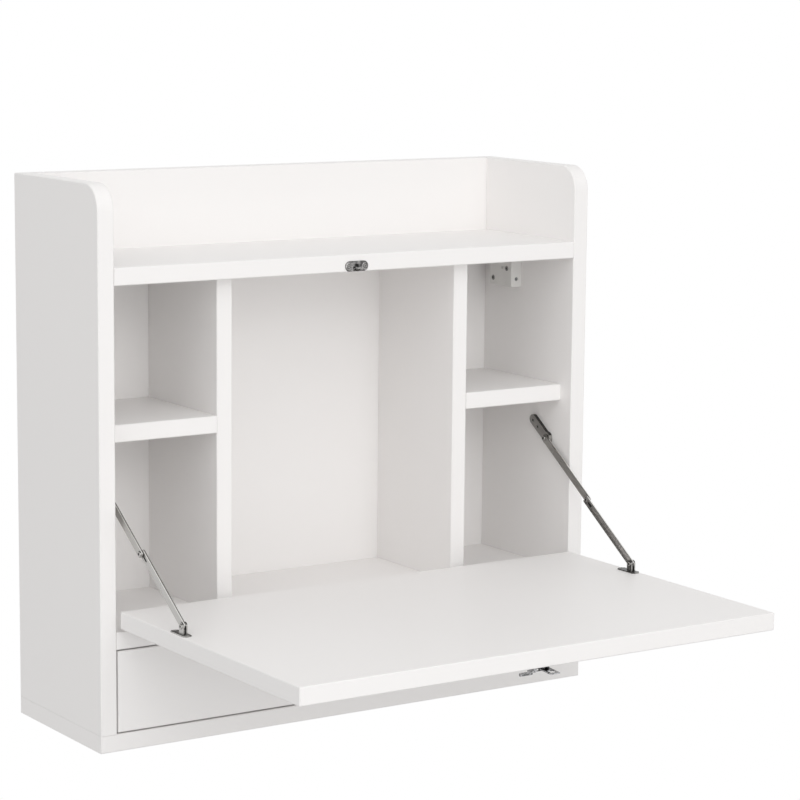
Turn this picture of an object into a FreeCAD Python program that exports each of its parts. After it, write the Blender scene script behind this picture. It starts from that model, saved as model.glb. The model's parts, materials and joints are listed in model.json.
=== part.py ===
import FreeCAD, Part
import math
import os

# Fold-down wall desk: a wall-hung cabinet whose front folds down into a writing surface.
# X is to the right, Y towards the wall and Z up. The origin is the middle of the back face, so the
# wall is the plane Y = 0. The desk is modelled level, as it is used. All lengths are millimetres.

Vector = FreeCAD.Vector

# Cabinet
width = 600.0
height = 572.0
depth = 185.0
board = 18.0
gallery_height = 82.0
drawer_opening = 87.0
side_bay_width = 127.0
small_shelf_drop = 142.0
corner_radius = 26.0
edge_break = 0.8

# Desk panel: its gaps to the side panels, the top shelf and the dividers behind it
desk_side_gap = 2.0
desk_top_gap = 2.0
desk_stop_gap = 2.0

# Butt hinges
hinge_inset = 90.0
hinge_length = 50.0
knuckle_count = 3
leaf_width = 19.0
leaf_thickness = 1.2
leaf_gap = 0.4
barrel_radius = 3.0
hinge_pin_radius = 1.5
pin_clearance = 0.05
knuckle_gap = 0.4
knuckle_relief = 0.5

# Folding stays
stay_setback = 40.0
stay_pivot_height = 144.0
foot_reach = 120.0
foot_pivot_height = 9.0
upper_arm_share = 0.5
stay_plate_length = 31.0
stay_plate_radius = 5.5
shoulder_boss_radius = 6.8
stay_plate_thickness = 4.0
stay_screw_shares = (0.6, 0.95)
layer_gap = 0.5
arm_radius = 4.0
upper_arm_thickness = 2.0
channel_depth = 2.2
channel_wall = 0.8
stop_window_length = 5.0
stop_window_radius = 1.2
rivet_radius = 2.0
rivet_head_radius = 3.0
rivet_head_thickness = 1.2
ear_thickness = 1.2
ear_gap = 0.3
foot_plate_length = 30.0
foot_plate_width = 9.5
foot_plate_offset = 4.5
foot_plate_thickness = 1.2
foot_plate_corner = 2.5
foot_screw_inset = 3.2
foot_pin_radius = 1.6
foot_pin_head_radius = 2.8
foot_pin_head_thickness = 0.9

# Toggle latch and strike: a lift is a distance off the desk's outer face, and a reach is a distance
# beyond the desk's free edge
latch_sheet = 1.0
claw_gap = 0.4
claw_thickness = 1.2
claw_width = 11.0
claw_eye_radius = 1.9
claw_bar = 2.2
claw_window_width = 7.0
claw_window_length = 6.9
claw_pin_radius = 1.0
claw_pivot_lift = 3.3
claw_pivot_reach = -20.0
lever_pivot_lift = 5.8
lever_pivot_reach = -16.0
lever_rivet_radius = 1.2
lever_handle_start_reach = -25.0
lever_handle_end_reach = -42.0
lever_handle_lift = 6.6
lever_curl_radius = 1.8
lever_rest_angle = 20.0
claw_ratio = -1.2
latch_ear_radius = 3.0
latch_base_width = 21.0
latch_base_near_reach = -6.0
latch_base_far_reach = -40.0
latch_base_corner = 4.0
latch_screw_inset = 4.2
strike_length = 28.0
strike_height = 11.0
strike_margin = 0.2
strike_screw_spacing = 20.0
tongue_width = 6.0
tongue_inset = 2.3
tongue_height = 2.7

# Cabinet hangers and their wall plates
hanger_length = 43.0
hanger_width = 13.5
hanger_height = 40.0
hanger_top_gap = 1.0
hanger_rear_gap = 27.0
hanger_edge_break = 1.0
hanger_hole_shares = ((0.22, 0.51), (0.43, 0.51), (0.82, 0.2))
hanger_screwed_holes = (0, 2)
hanger_bare_hole_radius = 1.6
hook_thickness = 3.0
hook_height = 12.0
hook_drop = 3.0
hook_setback = 5.0
hook_tip_length = 10.0
hook_tip_thickness = 3.0
hook_nose_inset = 8.0
hook_slack = 0.3
adjuster_radius = 2.2
adjuster_length = 23.0
adjuster_rise = 9.0
adjuster_recess = 1.0
wall_plate_width = 46.0
wall_plate_height = 36.0
wall_plate_thickness = 2.0
wall_plate_offset = 5.0
wall_plate_flange = 12.0
wall_hole_radius = 2.75
wall_hole_spacing = 24.0
wall_hole_rise = 11.0
pocket_depth = 9.0
pocket_margin = 2.0

# Drawer
drawer_gap = 1.5
drawer_side_gap = 2.0
drawer_wall = 12.0
drawer_box_rise = 4.0
drawer_box_height = 66.0
drawer_rear_gap = 5.0
drawer_bottom_thickness = 3.0
drawer_bottom_rise = 8.0
drawer_groove_depth = 5.0
drawer_groove_slack = 0.15
runner_height = 10.0
runner_projection = 8.0
runner_rise = 36.0
runner_slack = 0.3
runner_end_gap = 4.0

# Screws and rivets, with flat-sided heads
screw_sides = 8
rivet_sides = 12
screw_end_gap = 0.5
screw_radius = 1.5
screw_head_radius = 2.8
screw_length = 13.0
small_screw_radius = 1.0
small_screw_head_radius = 1.9
small_screw_length = 10.0
seat_clearance = 0.05
overrun = 5.0

# Levels and planes worked out from the driving dimensions
sides = {"left": -1, "right": 1}
base_level = -height / 2
top_level = height / 2
bottom_board_top = base_level + board
floor_underside = bottom_board_top + drawer_opening
floor_top = floor_underside + board
top_shelf_top = top_level - gallery_height
top_shelf_underside = top_shelf_top - board
small_shelf_top = top_shelf_underside - small_shelf_drop
front = -depth
back_panel_front = -board
inner_half = width / 2 - board
divider_half = inner_half - side_bay_width
divider_front = front + board + desk_stop_gap

# Hinge axis: the barrel stands just before the front, between the two leaves
axis_y = front - barrel_radius
axis_z = floor_top + leaf_thickness + leaf_gap / 2
desk_rear = axis_y - leaf_gap / 2 - leaf_thickness
desk_underside = axis_z + barrel_radius
desk_top = desk_underside + board
desk_length = top_shelf_underside - desk_top_gap - (axis_z + leaf_gap / 2 + leaf_thickness)
desk_front = desk_rear - desk_length
desk_half = inner_half - desk_side_gap

# Stay pivots in the plane of the arms: shoulder on the side panel, foot on the desk, elbow between
shoulder = Vector(0, front + stay_setback, floor_top + stay_pivot_height)
foot = Vector(0, axis_y - foot_reach, desk_top + foot_pivot_height)
elbow = foot + (shoulder - foot) * (1 - upper_arm_share)
stay_direction = (shoulder - foot).normalize()

# Layers of a stay, as distances in from the side panel's inner face
upper_arm_out = stay_plate_thickness + layer_gap
upper_arm_in = upper_arm_out + upper_arm_thickness
channel_out = upper_arm_in + layer_gap
channel_in = channel_out + channel_depth

pieces = {}
screws = {"carcass_screws": [], "desk_screws": []}


# Shapes

def box(x_ends, y_ends, z_ends):
    """Box between two ends on each axis, given in any order."""
    low = Vector(min(x_ends), min(y_ends), min(z_ends))
    size = Vector(max(x_ends), max(y_ends), max(z_ends)) - low
    return Part.makeBox(size.x, size.y, size.z, low)


def cylinder(radius, start, end):
    """Cylinder between two points."""
    return Part.makeCylinder(radius, (end - start).Length, start, end - start)


def flat_face(corners):
    """Flat face inside a closed outline of corners."""
    return Part.Face(Part.makePolygon(corners + corners[:1]))


def prism(points, x_ends):
    """Outline of points in a plane across X, drawn out between two X ends."""
    x_low = min(x_ends)
    face = flat_face([Vector(x_low, point.y, point.z) for point in points])
    return face.extrude(Vector(max(x_ends) - x_low, 0, 0))


def round_bar(start, end, radius, x_ends):
    """Flat bar with round ends, about two points in a plane across X."""
    x_low = min(x_ends)
    first = Vector(x_low, start.y, start.z)
    last = Vector(x_low, end.y, end.z)
    along = (last - first).normalize() * radius
    across = along.cross(Vector(1, 0, 0))
    edges = [
        Part.LineSegment(first + across, last + across).toShape(),
        Part.Arc(last + across, last + along, last - across).toShape(),
        Part.LineSegment(last - across, first - across).toShape(),
        Part.Arc(first - across, first - along, first + across).toShape(),
    ]
    return Part.Face(Part.Wire(edges)).extrude(Vector(max(x_ends) - x_low, 0, 0))


def disc(radius, centre, x_ends):
    """Cylinder along X, about a point in a plane across X."""
    return cylinder(radius, Vector(x_ends[0], centre.y, centre.z), Vector(x_ends[1], centre.y, centre.z))


def pick(shape, chosen):
    """Edges whose bounding box passes the test."""
    return [edge for edge in shape.Edges if chosen(edge.BoundBox)]


def round_off(shape, radius, chosen):
    """Round the edges that pass the test."""
    return shape.makeFillet(radius, pick(shape, chosen))


def ease(shape, size, chosen):
    """Break the sharp edges that pass the test with a narrow chamfer."""
    return shape.makeChamfer(size, pick(shape, chosen))


def along_x(bounds):
    """True for an edge that runs along X."""
    return bounds.XLength > max(bounds.YLength, bounds.ZLength)


def along_z(bounds):
    """True for an edge that runs along Z."""
    return bounds.ZLength > max(bounds.XLength, bounds.YLength)


def near(value, target):
    """True for two places closer than any named size."""
    return abs(value - target) < seat_clearance


def inward(side, *distances):
    """X places at distances in from a side panel's inner face."""
    return [sides[side] * (inner_half - distance) for distance in distances]


def cut(names, tool):
    """Take a tool shape out of the named pieces."""
    for name in names:
        pieces[name] = pieces[name].cut(tool)


# Screws and rivets

def ring(centre, radius, direction, sides):
    """Corners of a flat-sided outline about a centre, square to a direction."""
    turn = FreeCAD.Rotation(Vector(0, 0, 1), direction)
    corners = []
    for index in range(sides):
        angle = 2 * math.pi * index / sides
        spoke = Vector(math.cos(angle), math.sin(angle), 0) * radius
        corners.append(centre + turn.multVec(spoke))
    return corners


def taper(stations, direction, sides=screw_sides):
    """Flat-sided body through stations of a centre and a radius along a direction."""
    rings = [ring(centre, radius, direction, sides) for centre, radius in stations]
    faces = [flat_face(rings[0]), flat_face(rings[-1])]
    for near_ring, far_ring in zip(rings, rings[1:]):
        for index in range(sides):
            last = index - 1
            faces.append(flat_face([near_ring[last], near_ring[index], far_ring[index], far_ring[last]]))
    return Part.Solid(Part.Shell(faces))


def stud(radius, centre, x_ends):
    """Flat-sided rivet body along X, about a point in a plane across X."""
    start = Vector(min(x_ends), centre.y, centre.z)
    end = Vector(max(x_ends), centre.y, centre.z)
    return taper([(start, radius), (end, radius)], Vector(1, 0, 0), rivet_sides)


def drive_screw(group, names, point, direction, head=screw_head_radius, shank=screw_radius,
                length=screw_length):
    """Countersunk screw flush at a point, with its seat cut in the named pieces."""
    neck = point + direction * (head - shank)
    end = point + direction * length
    screws[group].append(taper([(point, head), (neck, shank), (end, shank)], direction))
    wide = head + seat_clearance
    narrow = shank + seat_clearance
    mouth = point - direction * overrun
    bottom = end + direction * screw_end_gap
    cut(names, taper([(mouth, wide), (point, wide), (neck, narrow), (bottom, narrow)], direction))


# Carcass

def build_side_panel(side):
    """Side panel on the bottom board, with its top front corner rounded."""
    panel = box(inward(side, 0, -board), (front, 0), (bottom_board_top, top_level))
    panel = round_off(panel, corner_radius,
                      lambda b: along_x(b) and near(b.YMin, front) and near(b.ZMin, top_level))
    pieces[side + "_side_panel"] = ease(
        panel, edge_break,
        lambda b: near(b.XLength, 0) and b.YMin < -board and b.ZMax > bottom_board_top + edge_break)


def build_bottom_board():
    """Bottom board across the full width, under the side panels."""
    plank = box((-width / 2, width / 2), (front, 0), (base_level, bottom_board_top))
    pieces["bottom_board"] = ease(plank, edge_break, lambda b: near(b.YMax, front))


def build_back_panel():
    """Back panel between the side panels, standing up behind the top shelf as a gallery."""
    panel = box((-inner_half, inner_half), (back_panel_front, 0), (bottom_board_top, top_level))
    pieces["back_panel"] = ease(
        panel, edge_break,
        lambda b: along_x(b) and near(b.YMin, back_panel_front) and near(b.ZMin, top_level))


def build_long_shelf(name, low, high):
    """Shelf between the side panels, flush with their fronts."""
    plank = box((-inner_half, inner_half), (front, back_panel_front), (low, high))
    pieces[name] = ease(plank, edge_break, lambda b: along_x(b) and near(b.YMax, front))


def build_divider(side):
    """Upright between compartment floor and top shelf, set back behind the closed desk."""
    x_ends = (sides[side] * divider_half, sides[side] * (divider_half - board))
    upright = box(x_ends, (divider_front, back_panel_front), (floor_top, top_shelf_underside))
    pieces[side + "_divider"] = ease(
        upright, edge_break,
        lambda b: near(b.YMax, divider_front) and b.ZLength > board)


def build_small_shelf(side):
    """Shelf between a divider and a side panel."""
    x_ends = (sides[side] * divider_half, sides[side] * inner_half)
    plank = box(x_ends, (divider_front, back_panel_front), (small_shelf_top - board, small_shelf_top))
    pieces[side + "_small_shelf"] = ease(
        plank, edge_break, lambda b: along_x(b) and near(b.YMax, divider_front))


# Hangers

def build_hanger(side):
    """Hanger housing on the side panel, its hook, adjusting screw and wall plate."""
    panel = side + "_side_panel"
    housing = side + "_hanger_housing"
    rear = back_panel_front - hanger_rear_gap
    face = rear - hanger_length
    top = top_shelf_underside - hanger_top_gap
    low = top - hanger_height
    inner_face = inward(side, hanger_width)[0]
    block = box(inward(side, 0, hanger_width), (face, rear), (low, top))
    pieces[housing] = ease(block, hanger_edge_break,
                           lambda b: near(b.XMin, inner_face) and near(b.XMax, inner_face))
    outwards = Vector(sides[side], 0, 0)
    for index, (depth_share, height_share) in enumerate(hanger_hole_shares):
        point = Vector(inner_face, face + hanger_length * depth_share, low + hanger_height * height_share)
        if index in hanger_screwed_holes:
            drive_screw("carcass_screws", [housing, panel], point, outwards,
                        length=hanger_width + screw_length)
        else:
            ends = (point - outwards * overrun, point + outwards * hanger_width / 2)
            cut([housing], taper([(end, hanger_bare_hole_radius) for end in ends], outwards))
    build_hook(side, housing, face, top - hook_drop)
    start = Vector(inward(side, hanger_width / 2)[0], face + adjuster_recess, low + adjuster_rise)
    along = Vector(0, 1, 0)
    end = start + along * adjuster_length
    pieces[side + "_hanger_adjuster"] = taper([(start, adjuster_radius), (end, adjuster_radius)], along)
    bore_radius = adjuster_radius + seat_clearance
    mouth = start - along * overrun
    cut([housing], taper([(mouth, bore_radius), (end + along * screw_end_gap, bore_radius)], along))


def build_hook(side, housing, face, bar_top):
    """Steel hook out of a housing, through the back panel and down behind its wall plate's flange."""
    bar_low = bar_top - hook_height
    flange_top = bar_low - hook_slack
    tip_front = -wall_plate_offset + layer_gap
    tip_rear = tip_front + hook_tip_thickness
    nose = face + hook_nose_inset
    outline = [
        Vector(0, nose, bar_low),
        Vector(0, tip_front, bar_low),
        Vector(0, tip_front, bar_low - hook_tip_length),
        Vector(0, tip_rear, bar_low - hook_tip_length),
        Vector(0, tip_rear, bar_top),
        Vector(0, nose, bar_top),
    ]
    x_ends = inward(side, hook_setback, hook_setback + hook_thickness)
    pieces[side + "_hanger_hook"] = prism(outline, x_ends)
    x_slot = inward(side, hook_setback - hook_slack, hook_setback + hook_thickness + hook_slack)
    slot = box(x_slot, (nose - hook_slack, 0), (bar_low - hook_slack, bar_top + hook_slack))
    cut([housing, "back_panel"], slot)
    build_wall_plate(side, flange_top, bar_top)


def build_wall_plate(side, flange_top, bar_top):
    """Joggled steel plate on the wall, in a pocket of the back panel."""
    low = flange_top - wall_plate_height
    flange_low = flange_top - wall_plate_flange
    knee = flange_low - wall_plate_offset
    mitre = wall_plate_thickness * math.tan(math.pi / 8)
    outline = [
        Vector(0, 0, low),
        Vector(0, -wall_plate_thickness, low),
        Vector(0, -wall_plate_thickness, knee),
        Vector(0, -wall_plate_offset - wall_plate_thickness, flange_low),
        Vector(0, -wall_plate_offset - wall_plate_thickness, flange_top),
        Vector(0, -wall_plate_offset, flange_top),
        Vector(0, -wall_plate_offset, flange_low + mitre - wall_plate_thickness),
        Vector(0, 0, knee + mitre - wall_plate_thickness),
    ]
    plate = prism(outline, inward(side, pocket_margin, pocket_margin + wall_plate_width))
    middle = inward(side, pocket_margin + wall_plate_width / 2)[0]
    for offset in (-wall_hole_spacing / 2, wall_hole_spacing / 2):
        hole_start = Vector(middle + offset, -wall_plate_thickness - overrun, low + wall_hole_rise)
        hole_end = Vector(hole_start.x, overrun, hole_start.z)
        plate = plate.cut(cylinder(wall_hole_radius, hole_start, hole_end))
    pieces[side + "_wall_plate"] = plate
    pocket = box(inward(side, 0, wall_plate_width + pocket_margin * 2), (-pocket_depth, 0),
                 (low - pocket_margin, bar_top + pocket_margin))
    cut(["back_panel"], pocket)


# Desk and hinges

def build_desk_panel():
    """Writing surface, level in front of the cabinet."""
    panel = box((-desk_half, desk_half), (desk_front, desk_rear), (desk_underside, desk_top))
    pieces["desk_panel"] = panel.makeChamfer(edge_break, panel.Edges)


def build_hinge(side):
    """Butt hinge: fixed leaf on the compartment floor, moving leaf on the desk's rear edge, pin."""
    middle = sides[side] * (desk_half - hinge_inset)
    ends = (middle - hinge_length / 2, middle + hinge_length / 2)
    knuckle = hinge_length / knuckle_count
    centre_ends = (ends[0] + knuckle, ends[1] - knuckle)
    axis = Vector(0, axis_y, axis_z)
    near_face = leaf_gap / 2
    far_face = near_face + leaf_thickness
    relief = barrel_radius + knuckle_relief
    relief_y = (axis_y - relief, axis_y + relief)
    relief_z = (axis_z - relief, axis_z + relief)
    fixed = box(ends, (axis_y, axis_y + leaf_width), (axis_z - far_face, axis_z - near_face))
    fixed = fixed.fuse(disc(barrel_radius, axis, ends))
    centre_room = (centre_ends[0] - knuckle_gap / 2, centre_ends[1] + knuckle_gap / 2)
    fixed = fixed.cut(box(centre_room, relief_y, relief_z))
    moving = box(ends, (axis_y - far_face, axis_y - near_face), (axis_z, axis_z + leaf_width))
    outer_room = box(ends, relief_y, relief_z)
    centre_knuckle = (centre_ends[0] + knuckle_gap / 2, centre_ends[1] - knuckle_gap / 2)
    moving_web = box(centre_knuckle, (axis_y - far_face, axis_y - near_face), (axis_z, axis_z + leaf_width))
    moving = moving.cut(outer_room).fuse(moving_web).fuse(disc(barrel_radius, axis, centre_knuckle))
    bore = disc(hinge_pin_radius + pin_clearance, axis, (ends[0] - overrun, ends[1] + overrun))
    fixed_leaf = side + "_hinge_fixed_leaf"
    moving_leaf = side + "_hinge_moving_leaf"
    pieces[fixed_leaf] = fixed.cut(bore).removeSplitter()
    pieces[moving_leaf] = moving.cut(bore).removeSplitter()
    pieces[side + "_hinge_pin"] = disc(hinge_pin_radius, axis, ends)


# Folding stays

def stay_bore(side, radius, centre):
    """Hole along X through every layer of a stay."""
    return disc(radius, centre, inward(side, -overrun, channel_in + overrun))


def build_stay_plate(side):
    """Plate on the side panel that carries the shoulder pivot, and the shoulder rivet."""
    plate_end = shoulder + stay_direction * stay_plate_length
    name = side + "_stay_plate"
    x_ends = inward(side, 0, stay_plate_thickness)
    plate = round_bar(shoulder, plate_end, stay_plate_radius, x_ends)
    pieces[name] = plate.fuse(disc(shoulder_boss_radius, shoulder, x_ends)).removeSplitter()
    outwards = Vector(sides[side], 0, 0)
    for share in stay_screw_shares:
        point = shoulder + stay_direction * stay_plate_length * share
        point.x = inward(side, stay_plate_thickness)[0]
        drive_screw("carcass_screws", [name, side + "_side_panel"], point, outwards)
    head_start = upper_arm_in + ear_gap
    shank = disc(rivet_radius, shoulder, inward(side, stay_plate_thickness, head_start))
    head = stud(rivet_head_radius, shoulder, inward(side, head_start, head_start + rivet_head_thickness))
    pieces[side + "_shoulder_rivet"] = shank.fuse(head)


def build_upper_arm(side):
    """Flat upper arm from shoulder to elbow, with its half of the elbow rivet."""
    arm = round_bar(shoulder, elbow, arm_radius, inward(side, upper_arm_out, upper_arm_in))
    arm = arm.cut(stay_bore(side, rivet_radius + pin_clearance, shoulder))
    rivet_seat = stud(rivet_radius + seat_clearance, elbow, inward(side, -overrun, upper_arm_in + overrun))
    pieces[side + "_upper_arm"] = arm.cut(rivet_seat)
    shank = stud(rivet_radius, elbow, inward(side, upper_arm_out, upper_arm_in))
    head = stud(rivet_head_radius, elbow, inward(side, upper_arm_out - rivet_head_thickness, upper_arm_out))
    pieces[side + "_upper_elbow_rivet"] = shank.fuse(head)


def build_lower_arm(side):
    """Channel from elbow to foot, open away from the side panel, with its half of the elbow rivet."""
    arm = round_bar(elbow, foot, arm_radius, inward(side, channel_out, channel_in))
    run = stay_direction * (arm_radius + overrun)
    web_face = channel_out + channel_wall
    inside_radius = arm_radius - channel_wall
    hollow_ends = inward(side, web_face, channel_in + overrun)
    arm = arm.cut(round_bar(elbow + run, foot - run, inside_radius, hollow_ends))
    arm = arm.cut(stay_bore(side, foot_pin_radius + pin_clearance, foot))
    arm = arm.cut(stud(rivet_radius + seat_clearance, elbow, inward(side, 0, channel_in + overrun)))
    window_start = elbow - stay_direction * (rivet_head_radius + stop_window_radius * 2)
    window = round_bar(window_start, window_start - stay_direction * stop_window_length, stop_window_radius,
                       inward(side, channel_out, channel_in + overrun))
    pieces[side + "_lower_arm"] = arm.cut(window)
    shank = stud(rivet_radius, elbow, inward(side, channel_out, web_face))
    head = stud(inside_radius - layer_gap, elbow, inward(side, web_face, web_face + rivet_head_thickness))
    pieces[side + "_lower_elbow_rivet"] = shank.fuse(head)


def build_foot_bracket(side):
    """Bracket on the desk: a base plate with two ears about the lower arm, and the foot pin."""
    name = side + "_foot_bracket"
    outer_ear = channel_out - ear_gap
    inner_ear = channel_in + ear_gap
    middle = (outer_ear + inner_ear) / 2
    base_ends = inward(side, middle - foot_plate_width / 2, middle + foot_plate_width / 2)
    y_middle = foot.y + foot_plate_offset
    y_ends = (y_middle - foot_plate_length / 2, y_middle + foot_plate_length / 2)
    bracket = box(base_ends, y_ends, (desk_top, desk_top + foot_plate_thickness))
    bracket = ease(bracket, foot_plate_corner, along_z)
    centre_x = (base_ends[0] + base_ends[1]) / 2
    for ear_ends in ((outer_ear - ear_thickness, outer_ear), (inner_ear, inner_ear + ear_thickness)):
        x_ends = inward(side, *ear_ends)
        ear = box(x_ends, (foot.y - arm_radius, foot.y + arm_radius), (desk_top, foot.z))
        bracket = bracket.fuse(ear).fuse(disc(arm_radius, foot, x_ends))
    bore = stay_bore(side, foot_pin_radius + seat_clearance, foot)
    pieces[name] = bracket.cut(bore).removeSplitter()
    for sign in (-1, 1):
        y_screw = y_middle + sign * (foot_plate_length / 2 - foot_screw_inset)
        point = Vector(centre_x, y_screw, desk_top + foot_plate_thickness)
        drive_screw("desk_screws", [name, "desk_panel"], point, Vector(0, 0, -1),
                    small_screw_head_radius, small_screw_radius, small_screw_length)
    pin_ends = (outer_ear - ear_thickness, inner_ear + ear_thickness)
    pin = disc(foot_pin_radius, foot, inward(side, *pin_ends))
    for place, step in zip(pin_ends, (-foot_pin_head_thickness, foot_pin_head_thickness)):
        pin = pin.fuse(stud(foot_pin_head_radius, foot, inward(side, place, place + step)))
    pieces[side + "_foot_pin"] = pin


# Latch and strike

def latch_point(lift, reach):
    """Point off the level desk's outer face and beyond its free edge."""
    return Vector(0, desk_front - reach, desk_underside - lift)


def both_ways(near_x, far_x):
    """X ends of a pair of like cheeks, right and left of the latch's middle."""
    return ((near_x, far_x), (-far_x, -near_x))


# Half widths of the latch from the claw outwards: cheeks of the lever, then ears of the base
cheek_in = claw_width / 2 + claw_gap
cheek_out = cheek_in + latch_sheet
latch_ear_in = cheek_out + claw_gap
latch_ear_out = latch_ear_in + latch_sheet
lever_pivot = latch_point(lever_pivot_lift, lever_pivot_reach)
claw_pivot = latch_point(claw_pivot_lift, claw_pivot_reach)


def turn_lever(shape):
    """Turn a fastened lever piece to where the lever rests."""
    return shape.rotate(lever_pivot, Vector(-1, 0, 0), lever_rest_angle)


def build_latch_base():
    """Base plate on the desk's outer face, with two ears and the lever's rivets."""
    half = latch_base_width / 2
    near_y = desk_front - latch_base_near_reach
    far_y = desk_front - latch_base_far_reach
    plate = box((-half, half), (near_y, far_y), (desk_underside - latch_sheet, desk_underside))
    plate = ease(plate, latch_base_corner, along_z)
    root = latch_point(latch_sheet, lever_pivot_reach)
    rivets = []
    for x_ends in both_ways(latch_ear_in, latch_ear_out):
        ear = round_bar(root, lever_pivot, latch_ear_radius, x_ends)
        below_face = box((-half, half), (near_y, far_y), (desk_underside, desk_underside + board))
        plate = plate.fuse(ear.cut(below_face))
    for x_ends in both_ways(cheek_in, latch_ear_in):
        rivets.append(disc(lever_rivet_radius, lever_pivot, x_ends))
    pieces["latch_base"] = plate.removeSplitter()
    pieces["latch_lever_rivets"] = Part.makeCompound(rivets)
    for reach in (latch_base_near_reach - latch_screw_inset, latch_base_far_reach + latch_screw_inset):
        point = latch_point(latch_sheet, reach)
        drive_screw("desk_screws", ["latch_base", "desk_panel"], point, Vector(0, 0, 1),
                    small_screw_head_radius, small_screw_radius, small_screw_length)


def build_latch_lever():
    """Lever of two cheeks and a handle with a curled end, and the claw's pin."""
    handle_lift = lever_handle_lift + latch_sheet
    handle_root = latch_point(handle_lift - claw_eye_radius, lever_handle_start_reach - claw_eye_radius)
    handle_y = (desk_front - lever_handle_start_reach, desk_front - lever_handle_end_reach)
    handle_z = (desk_underside - lever_handle_lift, desk_underside - handle_lift)
    lever = box((-cheek_out, cheek_out), handle_y, handle_z)
    curl = latch_point(handle_lift, lever_handle_end_reach)
    lever = lever.fuse(disc(lever_curl_radius, curl, (-cheek_out, cheek_out)))
    for x_ends in both_ways(cheek_in, cheek_out):
        cheek = round_bar(lever_pivot, claw_pivot, claw_eye_radius, x_ends)
        cheek = cheek.fuse(round_bar(lever_pivot, handle_root, claw_eye_radius, x_ends))
        lever = lever.fuse(cheek)
    ends = (-latch_ear_out, latch_ear_out)
    lever = lever.cut(disc(lever_rivet_radius + pin_clearance, lever_pivot, ends))
    pieces["latch_lever"] = turn_lever(lever.removeSplitter())
    pieces["latch_claw_pin"] = turn_lever(disc(claw_pin_radius, claw_pivot, (-cheek_in, cheek_in)))


def build_latch_claw():
    """Claw plate with a window for the strike's tongue, on an eye about its pin."""
    half = claw_width / 2
    face = desk_underside - latch_sheet - claw_gap
    bar_reach = desk_top_gap + strike_margin + tongue_inset + latch_sheet + claw_gap
    tip_y = desk_front - bar_reach - claw_bar
    plate = box((-half, half), (tip_y, claw_pivot.y), (face, face - claw_thickness))
    plate = plate.fuse(disc(claw_eye_radius, claw_pivot, (-half, half)))
    window_half = claw_window_width / 2
    window_y = desk_front - bar_reach
    window = box((-window_half, window_half), (window_y, window_y + claw_window_length),
                 (desk_underside, face - claw_thickness - overrun))
    plate = plate.cut(window).cut(disc(claw_pin_radius + pin_clearance, claw_pivot, (-half, half)))
    claw = turn_lever(plate.removeSplitter())
    rest_pivot = turn_lever(Part.Vertex(claw_pivot)).Point
    pieces["latch_claw"] = claw.rotate(rest_pivot, Vector(-1, 0, 0), lever_rest_angle * claw_ratio)


def build_strike():
    """Strike plate on the top shelf's front edge, with a tongue that stands off it and points up."""
    low = top_shelf_underside + strike_margin
    centre = Vector(0, front, low + strike_height / 2)
    round_offset = (strike_length - strike_height) / 2
    out = Vector(0, -latch_sheet, 0)
    plate = box((-round_offset, round_offset), (front, front - latch_sheet), (low, low + strike_height))
    for sign in (-1, 1):
        start = centre + Vector(sign * round_offset, 0, 0)
        plate = plate.fuse(cylinder(strike_height / 2, start, start + out))
    slot = claw_thickness + claw_gap * 2
    face = front - latch_sheet
    root_low = low + tongue_inset
    tongue = prism([
        Vector(0, front, root_low),
        Vector(0, front, root_low + latch_sheet),
        Vector(0, face - slot, root_low + latch_sheet),
        Vector(0, face - slot, root_low + tongue_height),
        Vector(0, face - slot - latch_sheet, root_low + tongue_height),
        Vector(0, face - slot - latch_sheet, root_low),
    ], (-tongue_width / 2, tongue_width / 2))
    pieces["strike_plate"] = plate.fuse(tongue).removeSplitter()
    for sign in (-1, 1):
        point = centre + out + Vector(sign * strike_screw_spacing / 2, 0, 0)
        drive_screw("carcass_screws", ["strike_plate", "top_shelf"], point, Vector(0, 1, 0),
                    small_screw_head_radius, small_screw_radius, small_screw_length)


# Drawer

def build_drawer():
    """Drawer box behind a full front, with a bottom in grooves and a groove for each runner."""
    front_half = inner_half - drawer_gap
    face_rear = front + board
    face = box((-front_half, front_half), (front, face_rear),
               (bottom_board_top + drawer_gap, floor_underside - drawer_gap))
    pieces["drawer_front"] = ease(face, edge_break, lambda b: near(b.YMax, front))
    low = bottom_board_top + drawer_box_rise
    high = low + drawer_box_height
    rear = back_panel_front - drawer_rear_gap
    wall_in = drawer_side_gap + drawer_wall
    for side in sides:
        x_ends = inward(side, drawer_side_gap, wall_in)
        pieces["drawer_" + side + "_side"] = box(x_ends, (face_rear, rear), (low, high))
    inside_half = inner_half - wall_in
    pieces["drawer_back"] = box((-inside_half, inside_half), (rear - drawer_wall, rear), (low, high))
    bottom_half = inside_half + drawer_groove_depth
    bottom_low = low + drawer_bottom_rise
    y_ends = (face_rear - drawer_groove_depth, rear - drawer_wall + drawer_groove_depth)
    bottom_high = bottom_low + drawer_bottom_thickness
    pieces["drawer_bottom"] = box((-bottom_half, bottom_half), y_ends, (bottom_low, bottom_high))
    slack = drawer_groove_slack
    groove = box((-bottom_half - slack, bottom_half + slack), (y_ends[0] - slack, y_ends[1] + slack),
                 (bottom_low - slack, bottom_high + slack))
    cut(["drawer_front", "drawer_back", "drawer_left_side", "drawer_right_side"], groove)
    for side in sides:
        build_runner(side, low + runner_rise, face_rear, rear)


def build_runner(side, middle, face_rear, rear):
    """Runner strip on a side panel, in a groove of the drawer's side that is open at the rear."""
    name = side + "_drawer_runner"
    half = runner_height / 2
    y_ends = (face_rear + runner_end_gap, rear)
    pieces[name] = box(inward(side, 0, runner_projection), y_ends, (middle - half, middle + half))
    groove_half = half + runner_slack
    groove = box(inward(side, 0, runner_projection + layer_gap), (face_rear, rear + overrun),
                 (middle - groove_half, middle + groove_half))
    cut(["drawer_" + side + "_side"], groove)


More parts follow.
